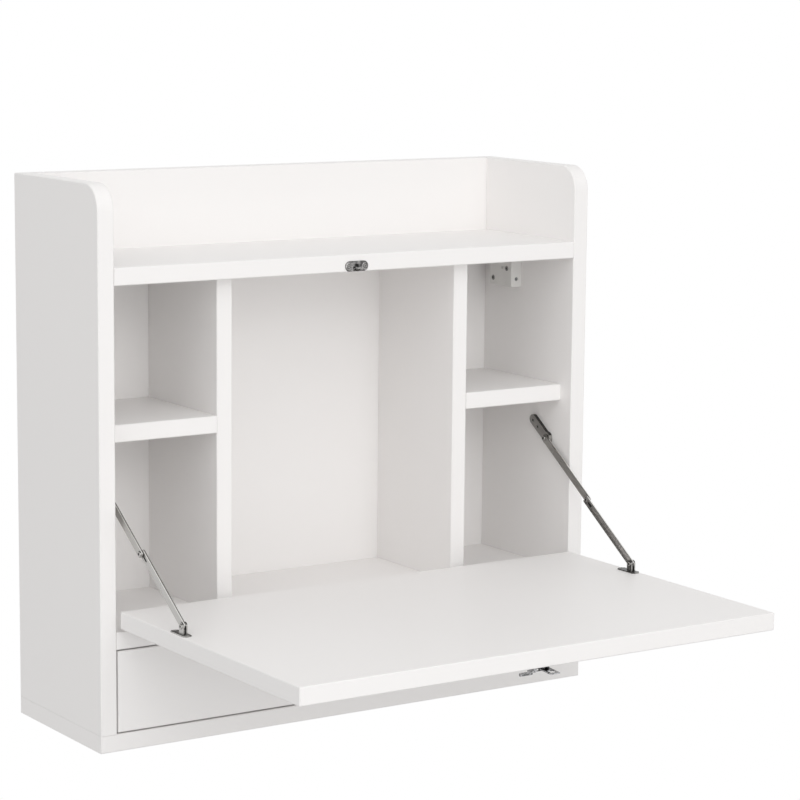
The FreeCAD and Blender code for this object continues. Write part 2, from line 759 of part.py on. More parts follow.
def build():
    """Make every piece, in the order in which they are drilled for one another."""
    build_bottom_board()
    build_back_panel()
    build_long_shelf("top_shelf", top_shelf_underside, top_shelf_top)
    build_long_shelf("compartment_floor", floor_underside, floor_top)
    build_desk_panel()
    for side in sides:
        build_side_panel(side)
        build_divider(side)
        build_small_shelf(side)
        build_hanger(side)
        build_hinge(side)
        build_stay_plate(side)
        build_upper_arm(side)
        build_lower_arm(side)
        build_foot_bracket(side)
    build_strike()
    build_latch_base()
    build_latch_lever()
    build_latch_claw()
    build_drawer()
    for group, solids in screws.items():
        pieces[group] = Part.makeCompound(solids)


build()
os.makedirs("parts", exist_ok=True)
for name, shape in pieces.items():
    shape.exportStep("parts/" + name + ".step")
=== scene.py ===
import json
import math
from functools import partial

import bmesh
import bpy
from bpy.props import FloatProperty, FloatVectorProperty, IntProperty, PointerProperty
from mathutils import Matrix, Vector


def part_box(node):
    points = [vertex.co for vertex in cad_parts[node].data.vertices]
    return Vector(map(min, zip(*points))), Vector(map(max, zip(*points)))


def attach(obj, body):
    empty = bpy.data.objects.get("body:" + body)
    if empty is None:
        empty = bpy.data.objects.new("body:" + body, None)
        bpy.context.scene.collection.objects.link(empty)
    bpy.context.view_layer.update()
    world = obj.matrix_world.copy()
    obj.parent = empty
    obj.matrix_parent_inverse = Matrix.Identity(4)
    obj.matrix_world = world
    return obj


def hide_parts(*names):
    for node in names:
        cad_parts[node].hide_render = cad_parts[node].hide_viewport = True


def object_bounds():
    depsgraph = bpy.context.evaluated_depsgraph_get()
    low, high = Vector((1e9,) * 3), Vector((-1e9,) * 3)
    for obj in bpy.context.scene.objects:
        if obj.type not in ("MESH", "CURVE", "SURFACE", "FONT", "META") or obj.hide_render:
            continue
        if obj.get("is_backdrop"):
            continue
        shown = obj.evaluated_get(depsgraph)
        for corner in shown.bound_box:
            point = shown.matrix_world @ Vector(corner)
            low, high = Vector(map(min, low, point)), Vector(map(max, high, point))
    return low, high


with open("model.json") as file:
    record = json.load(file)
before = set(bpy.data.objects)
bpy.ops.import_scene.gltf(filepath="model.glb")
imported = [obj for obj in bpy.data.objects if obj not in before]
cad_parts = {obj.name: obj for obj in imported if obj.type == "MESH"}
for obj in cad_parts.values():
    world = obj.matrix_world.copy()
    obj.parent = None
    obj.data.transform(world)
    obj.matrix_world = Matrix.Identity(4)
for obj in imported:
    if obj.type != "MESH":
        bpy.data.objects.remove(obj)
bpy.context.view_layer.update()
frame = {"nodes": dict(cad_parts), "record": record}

bl_info = {
    "name": "Fold-down Wall Desk",
    "version": (1, 0, 0),
    "blender": (4, 5, 0),
    "location": "View3D > Sidebar > Wall Desk",
    "description": "Finishes the boards and fittings of a fold-down wall desk and sets its stage",
    "category": "Object",
}

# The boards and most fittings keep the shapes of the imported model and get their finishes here. Screws,
# rivets and the strike are made round and rounded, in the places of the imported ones. Lengths are in
# metres, X is to the right, Y towards the wall and Z up.

SIDES = ("left", "right")
X_AXIS = Vector((1, 0, 0))
Y_AXIS = Vector((0, 1, 0))
Z_AXIS = Vector((0, 0, 1))
MERGE_DISTANCE = 1e-6
PLACE_TOLERANCE = 2e-5
SMOOTH_ANGLE = math.radians(32)
QUARTER_TURN = math.radians(90)
WHITE = (1, 1, 1, 1)
FACING = 0.5
SENSOR_WIDTH = 36.0

# Depths of fine texture
BRUSH_DEPTH = 0.00001
GRAIN_DEPTH = 0.00004
CHIP_DEPTH = 0.0002

# Roundings as shares of the thickness or width that holds them
RIM_SHARE = 0.9
TIP_SHARE = 0.4
END_SHARE = 0.49

# Depth of a shallow cross as a share of its head's rise
SHALLOW_SHARE = 0.8

# Places beside a screw as shares of a width
RING_REACH_SHARE = 1.4
STAGGER_SHARE = 1.4


# Settings

Colour = partial(FloatVectorProperty, subtype="COLOR", size=4, min=0, max=1)
Length = partial(FloatProperty, unit="LENGTH", min=0)
Share = partial(FloatProperty, subtype="FACTOR", min=0, max=1)
Power = partial(FloatProperty, unit="POWER", min=0)
Place = partial(FloatVectorProperty, subtype="TRANSLATION", unit="LENGTH", size=3)


class BoardSettings(bpy.types.PropertyGroup):
    """Look of the white boards and the drawer's hardboard bottom."""

    colour: Colour(
        name="Board colour", description="Colour of the melamine faces", default=(0.915, 0.899, 0.889, 1))
    shade: Colour(
        name="Board shade", description="Colour of the slightly darker clouds in the melamine",
        default=(0.892, 0.874, 0.862, 1))
    edge_colour: Colour(
        name="Worn edge colour", description="Colour that shows where edges are rubbed",
        default=(0.78, 0.755, 0.73, 1))
    core_colour: Colour(
        name="Core colour", description="Colour of the pressed wood where a board is milled",
        default=(0.5, 0.36, 0.22, 1))
    core_shade: Colour(
        name="Core shade", description="Colour of the darker chips in the pressed wood",
        default=(0.24, 0.15, 0.08, 1))
    roughness: Share(
        name="Roughness", description="Mean roughness of the melamine", default=0.44)
    gloss: Share(
        name="Gloss", description="Strength of the melamine's reflections", default=0.2)
    edge_round: Length(
        name="Edge rounding", description="Radius that the edges seem to have", default=0.0009)
    edge_wear: Share(
        name="Edge wear", description="Share of the worn colour on the edges", default=0.35)
    pebble_depth: Length(
        name="Pebble depth", description="Depth of the pressed pebble texture", default=0.00002)
    skin: Length(
        name="Skin", description="Thickness of the melamine over the pressed wood", default=0.0004)


class MetalSettings(bpy.types.PropertyGroup):
    """Look of the stays, latch, hinges, hangers and screws."""

    stay_colour: Colour(
        name="Stay colour", description="Colour of the nickel on the stays", default=(0.56, 0.548, 0.53, 1))
    # Painted shade on the stays' plates, on faces that look inwards or up
    stay_shade: Colour(
        name="Stay inner colour", description="Colour of the inward faces of the stays' plates",
        default=(0.37, 0.36, 0.347, 1))
    # Painted shade on the stays' arms, on faces that look inwards or up
    arm_shade: Colour(
        name="Arm inner colour", description="Colour of the inward faces of the stays' arms",
        default=(0.48, 0.467, 0.45, 1))
    # Painted shade on the foot brackets, on faces that look inwards or up
    bracket_shade: Colour(
        name="Bracket dark colour", description="Colour of the dull faces of the stays' foot brackets",
        default=(0.12, 0.117, 0.112, 1))
    latch_colour: Colour(
        name="Latch colour", description="Colour of the chrome on the latch", default=(0.52, 0.52, 0.53, 1))
    strike_colour: Colour(
        name="Strike colour", description="Colour of the darker chrome on the strike",
        default=(0.35, 0.343, 0.338, 1))
    hinge_colour: Colour(
        name="Hinge colour", description="Colour of the nickel on the hinges",
        default=(0.46, 0.44, 0.41, 1))
    zinc_colour: Colour(
        name="Zinc colour", description="Colour of the zinc on hooks and wall plates",
        default=(0.5, 0.51, 0.53, 1))
    screw_colour: Colour(
        name="Screw colour", description="Colour of the plated screws", default=(0.38, 0.375, 0.365, 1))
    # Painted shade: near-black colour put into recesses and between faces that are close together
    painted_shade_colour: Colour(
        name="Grime colour", description="Colour of the grime in recesses and crevices",
        default=(0.012, 0.0115, 0.011, 1))
    edge_round: Length(
        name="Edge rounding", description="Radius that the sheet metal's edges seem to have",
        default=0.0003)
    # Painted highlight: width of the lightened edges of the strike
    edge_highlight_width: Length(
        name="Bright edge", description="Width of the bright edges of the strike", default=0.0007)
    # Reach of the painted shade that darkens faces lying close together
    shade_reach: Length(
        name="Crevice reach", description="How near two faces hold grime between them", default=0.003)


class FastenerSettings(bpy.types.PropertyGroup):
    """Shape of the cross-head screws and the rivets."""

    rim: Length(
        name="Rim", description="How far a screw's head reaches beyond the packed one", default=0.00015)
    rise: Length(
        name="Rise", description="How far a screw's head stands above its seat", default=0.0003)
    recess_depth: Length(
        name="Recess depth", description="Depth of a screw's cross recess", default=0.0009)
    recess_length_share: Share(
        name="Recess length", description="Length of the cross as a share of the head's width",
        default=0.62)
    recess_width_share: Share(
        name="Recess width", description="Width of the cross as a share of the head's width", default=0.17)
    recess_taper: Share(
        name="Recess taper", description="Size of the cross at its bottom as a share of its size at the top",
        default=0.6)
    hinge_head: Length(
        name="Hinge screw head", description="Radius of the heads of the hinges' screws", default=0.0026)
    hinge_rise: Length(
        name="Hinge screw rise", description="How far the hinges' screws stand above their leaves",
        default=0.0001)
    hinge_inset: Length(
        name="Hinge screw inset", description="Distance of the hinges' outer screws from their leaves' edges",
        default=0.006)
    hinge_length: Length(
        name="Hinge screw length", description="Length of the hinges' screws", default=0.012)
    head_rounding: Length(
        name="Head rounding", description="Rounding of the rivets' heads", default=0.0008)
    dimple_share: Share(
        name="Dimple", description="Width of the dimple in a rivet's head as a share of the head's width",
        default=0.45)
    dimple_depth: Length(
        name="Dimple depth", description="Depth of the dimple in a rivet's head", default=0.0006)
    latch_head_radius: Length(
        name="Latch rivet head", description="Radius of the heads of the latch's rivets", default=0.002)
    latch_head_rise: Length(
        name="Latch rivet rise", description="Thickness of the heads of the latch's rivets", default=0.0008)
    insert_place: Length(
        name="Insert place", description="Distance of a stay's stop insert from the elbow", default=0.0079)
    insert_length: Length(
        name="Insert length", description="Length of a stay's stop insert, which fills the window in its arm",
        default=0.0073)
    insert_width: Length(
        name="Insert width", description="Width of a stay's stop insert", default=0.0023)
    insert_thickness: Length(
        name="Insert thickness", description="Thickness of a stay's stop insert", default=0.0012)
    steps: IntProperty(
        name="Steps", description="Number of sides of a turned fastener", min=8, default=28)


class StrikeSettings(bpy.types.PropertyGroup):
    """Shape of the latch's pressed strike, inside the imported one's outline."""

    sheet: Length(
        name="Sheet", description="Thickness of the sheet metal of latch and strike", default=0.001)
    rim_rounding: Length(
        name="Rim rounding", description="Rounding of the plate's front rim", default=0.0006)
    tongue_width: Length(
        name="Tongue width", description="Width of the tongue that the claw hooks over", default=0.006)
    tongue_inset: Length(
        name="Tongue inset", description="Height of the tongue above the plate's lower edge",
        default=0.0023)
    tongue_height: Length(
        name="Tongue height", description="Height of the upturned tongue", default=0.0027)
    window_width: Length(
        name="Window width", description="Width of the square window over the tongue", default=0.0046)
    window_height: Length(
        name="Window height", description="Height of the square window over the tongue", default=0.0046)
    slot_width: Length(
        name="Slot width", description="Width of the slot under the tongue", default=0.009)
    slot_height: Length(
        name="Slot height", description="Height of the slot under the tongue", default=0.0013)
    sink_depth: Length(
        name="Sink depth", description="Depth of the window and the slot", default=0.0009)
    ring_width: Length(
        name="Ring width", description="Width of the pressed rings round the strike's screws",
        default=0.0009)
    ring_rise: Length(
        name="Ring rise", description="Height of the pressed rings round the strike's screws",
        default=0.0004)


class PlasticSettings(bpy.types.PropertyGroup):
    """Look of the hanger housings and the drawer's runners."""

    colour: Colour(
        name="Plastic colour", description="Colour of the moulded plastic", default=(0.8, 0.795, 0.775, 1))
    shade: Colour(
        name="Plastic shade", description="Colour of the flow marks in the plastic",
        default=(0.75, 0.74, 0.715, 1))
    # Painted highlight: colour that the plastic's rounded edges are lightened to
    edge_colour: Colour(
        name="Plastic edge colour", description="Colour of the rubbed edges of the plastic",
        default=(0.9, 0.9, 0.88, 1))
    roughness: Share(
        name="Roughness", description="Mean roughness of the plastic", default=0.48)
    edge_round: Length(
        name="Edge rounding", description="Radius that the moulded edges seem to have", default=0.0005)


class StageSettings(bpy.types.PropertyGroup):
    """Floor, light and camera."""

    writing_height: Length(
        name="Writing height", description="Height of the open desk above the floor", default=0.74)
    floor_size: Length(
        name="Floor size", description="Length of the floor's sides", default=24.0)
    floor_colour: Colour(
        name="Floor colour", description="Colour of the floor", default=(0.7, 0.7, 0.7, 1))
    shadow_share: Share(
        name="Shadow share", description="Share of the floor's own shading that is seen under the desk",
        default=0.5)
    shadow_reach: Length(
        name="Shadow reach", description="Distance at which the floor is plain white", default=1.3)
    sky_light: FloatProperty(
        name="Sky light", description="Strength of the light from all around", min=0, default=0.69)
    lamp_size: Length(
        name="Lamp size", description="Length of the soft lamps' sides", default=2.4)
    front_power: Power(
        name="Front power", description="Power of the low lamp before the desk", default=22.0)
    high_power: Power(
        name="High power", description="Power of the high lamp before the desk", default=22.0)
    left_power: Power(
        name="Left power", description="Power of the high lamp at the left", default=13.0)
    lens: FloatProperty(
        name="Lens", description="Focal length on a 36 mm sensor, in millimetres", unit="CAMERA", min=1,
        default=122.776)
    front_place: Place(
        name="Front place", description="Where the low lamp before the desk hangs", default=(-0.4, -3.4, 0.6))
    high_place: Place(
        name="High place", description="Where the high lamp before the desk hangs", default=(-0.6, -3.0, 2.2))
    left_place: Place(
        name="Left place", description="Where the lamp at the left hangs", default=(-2.6, -1.4, 2.2))
    camera_place: Place(
        name="Camera place", description="Where the camera stands", default=(-1.51774, -2.560762, 0.49122))
    camera_turn: FloatVectorProperty(
        name="Camera turn", description="Yaw to the right, pitch down and roll of the camera",
        subtype="EULER", unit="ROTATION", size=3,
        default=(math.radians(33.517), math.radians(8.868), math.radians(0.542)))


SETTINGS = {
    "wall_desk_boards": BoardSettings,
    "wall_desk_metal": MetalSettings,
    "wall_desk_fasteners": FastenerSettings,
    "wall_desk_strike": StrikeSettings,
    "wall_desk_plastic": PlasticSettings,
    "wall_desk_stage": StageSettings,
}


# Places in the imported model

def nodes_in(slot):
    """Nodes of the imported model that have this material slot."""
    return [row["node"] for row in frame["record"]["subparts"] if row["material_slot"] == slot]


def body_of(node):
    """Body that carries a node."""
    bodies = frame["record"]["behaviour"]["bodies"]
    return next(body for body, members in bodies.items() if node in members)


def solids_of(node):
    """Corner points of each separate solid of a node."""
    merged = bmesh.new()
    merged.from_mesh(frame["nodes"][node].data)
    bmesh.ops.remove_doubles(merged, verts=merged.verts, dist=MERGE_DISTANCE)
    # The keys of a dictionary keep their order, so each run takes the solids in the same order.
    waiting = dict.fromkeys(merged.verts)
    solids = []
    while waiting:
        first, _ = waiting.popitem()
        front = [first]
        points = []
        while front:
            vertex = front.pop()
            points.append(vertex.co.copy())
            for edge in vertex.link_edges:
                other = edge.other_vert(vertex)
                if other in waiting:
                    del waiting[other]
                    front.append(other)
        solids.append(points)
    merged.free()
    return solids


def corners_of(points):
    """Lowest and highest corner of a box about points."""
    low = Vector(min(point[index] for point in points) for index in range(3))
    high = Vector(max(point[index] for point in points) for index in range(3))
    return low, high


def same(first, second):
    """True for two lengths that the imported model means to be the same."""
    return abs(first - second) < PLACE_TOLERANCE


# Finishes

class Value:
    """Output of a shader node. Arithmetic on it adds Math nodes."""

    def __init__(self, finish, socket):
        self.finish = finish
        self.socket = socket

    def combine(self, operation, first, second):
        """Value of a Math node on two values or numbers."""
        return self.finish.node("ShaderNodeMath", {"operation": operation}, {0: first, 1: second})

    def __add__(self, other):
        return self.combine("ADD", self, other)

    def __radd__(self, other):
        return self.combine("ADD", other, self)

    def __sub__(self, other):
        return self.combine("SUBTRACT", self, other)

    def __rsub__(self, other):
        return self.combine("SUBTRACT", other, self)

    def __mul__(self, other):
        return self.combine("MULTIPLY", self, other)

    def __rmul__(self, other):
        return self.combine("MULTIPLY", other, self)

    def __gt__(self, other):
        return self.combine("GREATER_THAN", self, other)

    def __lt__(self, other):
        return self.combine("LESS_THAN", self, other)


class Finish:
    """A node tree being made, of a material or of the world."""

    def __init__(self, owner):
        self.owner = owner
        owner.use_nodes = True
        self.tree = owner.node_tree
        self.tree.nodes.clear()

    def node(self, kind, settings=None, sockets=None, output=0):
        """Add a node, set its settings, then the values or links of its sockets, and give an output."""
        made = self.tree.nodes.new(kind)
        for name, setting in (settings or {}).items():
            setattr(made, name, setting)
        for name, value in (sockets or {}).items():
            if isinstance(value, Value):
                self.tree.links.new(value.socket, made.inputs[name])
            else:
                made.inputs[name].default_value = value
        return Value(self, made.outputs[output]) if made.outputs else None

    def place(self, scale=(1, 1, 1), turn=(0, 0, 0)):
        """Place on the piece, turned and then scaled."""
        start = self.node("ShaderNodeTexCoord", output="Object")
        turned = self.node("ShaderNodeMapping", {}, {"Vector": start, "Rotation": turn})
        return self.node("ShaderNodeMapping", {}, {"Vector": turned, "Scale": scale})

    def split(self, vector):
        """X, Y and Z of a vector."""
        across = self.node("ShaderNodeSeparateXYZ", {}, {"Vector": vector}, "X")
        outputs = across.socket.node.outputs
        return across, Value(self, outputs["Y"]), Value(self, outputs["Z"])

    def noise(self, scale, detail=2.0, place=None):
        """Soft noise about 0.5, finer with a larger scale."""
        sockets = {"Vector": place or self.place(), "Scale": scale, "Detail": detail}
        return self.node("ShaderNodeTexNoise", {}, sockets, "Fac")

    def cells(self, scale):
        """A grey for each cell of a broken-up surface."""
        sockets = {"Vector": self.place(), "Scale": scale}
        colour = self.node("ShaderNodeTexVoronoi", {}, sockets, "Color")
        return self.node("ShaderNodeSeparateColor", {}, {"Color": colour}, "Red")

    def mix(self, share, first, second):
        """Colour between two colours."""
        # Sockets of this node share their names, so those for colours go by number.
        settings = {"data_type": "RGBA", "clamp_factor": True}
        return self.node("ShaderNodeMix", settings, {0: share, 6: first, 7: second}, 2)

    def edges(self, width):
        """Normal rounded over the edges, and a mask that rises to about 1 on them."""
        rounded = self.node("ShaderNodeBevel", {"samples": 6}, {"Radius": width})
        plain = self.node("ShaderNodeNewGeometry", {}, {}, "True Normal")
        likeness = self.node("ShaderNodeVectorMath", {"operation": "DOT_PRODUCT"},
                             {0: rounded, 1: plain}, "Value")
        return rounded, (1 - likeness) * 3

    def crevices(self, reach):
        """1 between faces that are close together, and 0 on open ones."""
        return 1 - self.node("ShaderNodeAmbientOcclusion", {"samples": 8}, {"Distance": reach}, "AO")

    def bump(self, height, distance, normal):
        """Normal over a height that is 0 to 1 times a distance."""
        sockets = {"Height": height, "Distance": distance, "Normal": normal}
        return self.node("ShaderNodeBump", {}, sockets, "Normal")

    def metal(self, tone, roughness, normal):
        """Finish the material as a metal."""
        return self.surface({"Base Color": tone, "Metallic": 1.0, "Roughness": roughness, "Normal": normal})

    def surface(self, sockets):
        """Finish the material with its shader's sockets."""
        shader = self.node("ShaderNodeBsdfPrincipled", {}, sockets)
        self.node("ShaderNodeOutputMaterial", {}, {"Surface": shader})
        return self.owner


def start_finish(name):
    """New finish with a name."""
    return Finish(bpy.data.materials.new(name))


def shared(name, maker, look):
    """Material of a name, made when it is first asked for."""
    return bpy.data.materials.get(name) or maker(name, look)


def scaled(colour, share):
    """Colour made darker or lighter."""
    return [min(1, channel * share) for channel in colour[:3]] + [1]


def melamine_tone(finish, look):
    """Colour, roughness and normal of a melamine face with lightly rubbed edges."""
    cloud = finish.noise(scale=5.0, detail=3.0)
    fleck = finish.noise(scale=420.0, detail=2.0)
    pebble = finish.noise(scale=1500.0, detail=1.0)
    normal, edge = finish.edges(look.edge_round)
    rub = finish.noise(scale=60.0, detail=4.0)
    tone = finish.mix(cloud * 0.7 + fleck * 0.3, look.shade, look.colour)
    tone = finish.mix(edge * rub * look.edge_wear, tone, look.edge_colour)
    roughness = look.roughness + (cloud - 0.5) * 0.12 + (fleck - 0.5) * 0.08
    return tone, roughness, finish.bump(pebble, look.pebble_depth, normal)


def make_melamine(look):
    """White melamine on pressed wood."""
    finish = start_finish("white_melamine")
    tone, roughness, normal = melamine_tone(finish, look)
    return finish.surface({"Base Color": tone, "Roughness": roughness, "Normal": normal,
                           "Specular IOR Level": look.gloss})


def make_milled_board(look):
    """White melamine with bare pressed wood in the pockets that are milled for the wall plates."""
    finish = start_finish("milled_melamine")
    tone, roughness, normal = melamine_tone(finish, look)
    plate_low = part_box("left_wall_plate")[0].z
    hook_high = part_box("left_hanger_hook")[1].z
    board_low, board_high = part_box("back_panel")
    half_way = (board_low.y + board_high.y) / 2
    _, depth, level = finish.split(finish.place())
    in_board = (depth < board_high.y - look.skin) * (depth > half_way - look.skin)
    margin = board_high.y - half_way
    bare = in_board * (level > plate_low - margin) * (level < hook_high + margin)
    chip = finish.cells(scale=420.0)
    fibre = finish.noise(scale=900.0, detail=3.0)
    wood = finish.mix(chip * 0.6 + fibre * 0.4, look.core_shade, look.core_colour)
    return finish.surface({
        "Base Color": finish.mix(bare, tone, wood),
        "Roughness": roughness + bare * (0.3 + chip * 0.15),
        "Normal": finish.bump(bare * chip, CHIP_DEPTH, normal),
        "Specular IOR Level": look.gloss,
    })


def make_hardboard(look):
    """Painted hardboard, with the fibres of its face just showing."""
    finish = start_finish("white_hardboard")
    fibre = finish.noise(scale=300.0, detail=6.0, place=finish.place(scale=(1, 6, 1)))
    cloud = finish.noise(scale=9.0, detail=2.0)
    normal, edge = finish.edges(look.edge_round)
    tone = finish.mix(fibre * 0.6 + cloud * 0.4, look.shade, look.colour)
    tone = finish.mix(edge * 0.5, tone, look.core_colour)
    height = finish.bump(fibre, look.pebble_depth * 2, normal)
    return finish.surface({"Base Color": tone, "Roughness": 0.5 + fibre * 0.16, "Normal": height})


def make_nickel(name, look, turn, dark, middle):
    """Nickel on the stays: light outside, with painted shade on faces that look inwards.

    Upper faces get painted shade too, and a painted highlight on the side of the middle that lies farther
    out; edges get painted highlights, and faces close together painted shade between them.
    """
    finish = start_finish(name)
    brush = finish.noise(scale=900.0, detail=3.0, place=finish.place(scale=(0.04, 1, 1), turn=turn))
    smear = finish.noise(scale=70.0, detail=3.0)
    normal, edge = finish.edges(look.edge_round)
    across, _, upward = finish.split(finish.node("ShaderNodeNewGeometry", {}, {}, "True Normal"))
    place_x, _, _ = finish.split(finish.place())
    side = (place_x > 0) * 2 - 1
    inward = across * side < -FACING
    upper = upward > FACING
    outer = place_x * side > middle
    mottle = brush * 0.6 + smear * 0.4
    light = finish.mix(mottle, scaled(look.stay_colour, 0.7), look.stay_colour)
    shade = finish.mix(mottle, scaled(dark, 0.5), scaled(dark, 1.2))
    # Painted shade on faces that look inwards and on upper faces, then painted highlights on the outer part
    # of upper faces and on edges
    tone = finish.mix(inward, light, shade)
    tone = finish.mix(upper, tone, scaled(dark, 0.2))
    tone = finish.mix(upper * outer + edge * smear, tone, scaled(look.stay_colour, 1.35))
    # Painted shade between faces that are close together
    tone = finish.mix(finish.crevices(look.shade_reach) * 0.5, tone, look.painted_shade_colour)
    roughness = 0.18 + brush * 0.12 + smear * 0.12 + edge * 0.04
    height = finish.bump(brush, BRUSH_DEPTH, normal)
    return finish.metal(tone, roughness, height)


def dress_stays(look):
    """Finish the stays' plates, arms and brackets, and give the nickel for their rivets."""
    low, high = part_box("left_upper_arm")
    slope = math.atan2(high.z - low.z, high.y - low.y)
    along_arm = (-slope, 0, QUARTER_TURN)
    along_foot = (0, 0, QUARTER_TURN)
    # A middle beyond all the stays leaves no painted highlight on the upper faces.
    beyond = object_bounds()[1][0]
    nickel = make_nickel("stay_nickel", look, along_arm, look.stay_shade, beyond)
    dress(nodes_in("stay_steel"), nickel)
    brackets = [side + "_foot_bracket" for side in SIDES]
    dress(brackets, make_nickel("bracket_nickel", look, along_foot, look.bracket_shade, beyond))
    for arm in ("_upper_arm", "_lower_arm"):
        low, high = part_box("right" + arm)
        material = make_nickel("nickel" + arm, look, along_arm, look.arm_shade, (low.x + high.x) / 2)
        dress([side + arm for side in SIDES], material)
    return nickel


def make_brushed(name, look, colour):
    """Plated steel, brushed along X, with painted highlights on its edges and painted shade between faces
    that are close together.
    """
    finish = start_finish(name)
    brush = finish.noise(scale=900.0, detail=3.0, place=finish.place(scale=(0.04, 1, 1)))
    smear = finish.noise(scale=70.0, detail=3.0)
    normal, edge = finish.edges(look.edge_round)
    tone = finish.mix(brush * 0.6 + smear * 0.4, scaled(colour, 0.55), colour)
    # Painted highlight on the edges, then painted shade between close faces
    tone = finish.mix(edge, tone, scaled(colour, 1.5))
    tone = finish.mix(finish.crevices(look.shade_reach) * 0.6, tone, look.painted_shade_colour)
    roughness = 0.2 + brush * 0.12 + smear * 0.14
    height = finish.bump(brush, BRUSH_DEPTH, normal)
    return finish.metal(tone, roughness, height)


def make_screw_plate(name, look):
    """Plating of the screws."""
    return make_brushed(name, look, look.screw_colour)


def make_chrome(name, look, colour, edge_round, painted_shade):
    """Chrome with painted reflections as dark and light blots, dull specks, painted highlights on its edges
    and painted shade in its crevices.
    """
    finish = start_finish(name)
    reflection_blot = finish.noise(scale=320.0, detail=1.0)
    smear = finish.noise(scale=140.0, detail=4.0)
    speck = finish.noise(scale=1400.0, detail=1.0) > 0.68
    normal, edge = finish.edges(edge_round)
    # Painted reflections: the blots make the chrome darker and lighter; the specks are duller
    tone = finish.mix((reflection_blot - 0.4) * 4 - speck * 0.3, scaled(colour, 0.3), colour)
    # Painted highlight on the edges, then painted shade between close faces
    tone = finish.mix(edge, tone, scaled(colour, 2))
    tone = finish.mix(finish.crevices(look.shade_reach) * painted_shade, tone, look.painted_shade_colour)
    roughness = 0.07 + smear * 0.14 + speck * 0.15
    height = finish.bump(smear, BRUSH_DEPTH, normal)
    return finish.metal(tone, roughness, height)


def make_zinc(look):
    """Zinc plate with its broken crystal pattern and painted highlights on its edges."""
    finish = start_finish("zinc_plate")
    crystal = finish.cells(scale=260.0)
    dust = finish.noise(scale=700.0, detail=3.0)
    normal, edge = finish.edges(look.edge_round)
    tone = finish.mix(crystal * 0.7 + dust * 0.3, scaled(look.zinc_colour, 0.66), look.zinc_colour)
    # Painted highlight on the edges
    tone = finish.mix(edge * 0.6, tone, scaled(look.zinc_colour, 1.3))
    roughness = 0.3 + crystal * 0.14 + dust * 0.1
    height = finish.bump(crystal, BRUSH_DEPTH, normal)
    return finish.metal(tone, roughness, height)


def make_recess_shade(name, look):
    """Near-black painted shade for recesses, with a fine grain; the stays' stop inserts take it as their
    colour too.
    """
    finish = start_finish(name)
    grain = finish.noise(scale=2500.0, detail=3.0)
    tone = finish.mix(grain, look.painted_shade_colour, scaled(look.painted_shade_colour, 3))
    normal = finish.node("ShaderNodeNewGeometry", {}, {}, "Normal")
    roughness = 0.6 + grain * 0.3
    height = finish.bump(grain, GRAIN_DEPTH, normal)
    return finish.surface({"Base Color": tone, "Roughness": roughness, "Normal": height,
                           "Specular IOR Level": 0.15})


def make_plastic(name, look):
    """Moulded plastic with a fine sparked texture and faint flow marks."""
    finish = start_finish(name)
    flow = finish.noise(scale=28.0, detail=4.0, place=finish.place(scale=(1, 3, 1)))
    spark = finish.noise(scale=2200.0, detail=2.0)
    normal, edge = finish.edges(look.edge_round)
    tone = finish.mix(flow, look.shade, look.colour)
    # Painted highlight on the edges
    tone = finish.mix(edge * 0.3, tone, look.edge_colour)
    roughness = look.roughness + (flow - 0.5) * 0.14 + (spark - 0.5) * 0.1
    height = finish.bump(spark, GRAIN_DEPTH, normal)
    return finish.surface({"Base Color": tone, "Roughness": roughness, "Normal": height})


def screw_materials(look):
    """Finishes of a screw and of its recess, which is painted shade."""
    return [shared("screw_plate", make_screw_plate, look), shared("recess_grime", make_recess_shade, look)]


def dress(nodes, material):
    """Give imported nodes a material."""
    for node in nodes:
        for slot in frame["nodes"][node].material_slots:
            slot.material = material


# Pieces

def turn_profile(mesh, start, axis, profile, steps):
    """Spin a profile of distances along an axis and radii about it."""
    side = axis.orthogonal().normalized()
    corners = [mesh.verts.new(start + axis * along + side * radius) for along, radius in profile]
    lines = [mesh.edges.new(pair) for pair in zip(corners, corners[1:])]
    bmesh.ops.spin(mesh, geom=corners + lines, cent=start, axis=axis, angle=math.tau, steps=steps,
                   use_merge=True)
    bmesh.ops.remove_doubles(mesh, verts=mesh.verts, dist=MERGE_DISTANCE)
    bmesh.ops.recalc_face_normals(mesh, faces=mesh.faces)


def circle_at(mesh, start, axis, along, radius):
    """Edges that lie on a circle about an axis."""
    def on_circle(vertex):
        offset = vertex.co - start
        height = offset.dot(axis)
        return same(height, along) and same((offset - axis * height).length, radius)
    return [edge for edge in mesh.edges if all(on_circle(vertex) for vertex in edge.verts)]


def round_edges(mesh, edges, radius, segments=3):
    """Round edges off."""
    bmesh.ops.bevel(mesh, geom=edges, offset=radius, offset_type="OFFSET", segments=segments, profile=0.5,
                    affect="EDGES", material=-1)


def join_into(whole, part):
    """Add a mesh being made to another, and free it."""
    passing = bpy.data.meshes.new("passing")
    part.to_mesh(passing)
    part.free()
    whole.from_mesh(passing)
    bpy.data.meshes.remove(passing)


def place_piece(name, mesh, materials, body, nodes=()):
    """Make a piece of a mesh in place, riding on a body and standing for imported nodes."""
    data = bpy.data.meshes.new(name)
    mesh.to_mesh(data)
    mesh.free()
    for material in materials:
        data.materials.append(material)
    data.shade_smooth()
    data.set_sharp_from_angle(angle=SMOOTH_ANGLE)
    piece = bpy.data.objects.new(name, data)
    bpy.context.scene.collection.objects.link(piece)
    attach(piece, body)
    if nodes:
        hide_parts(*nodes)


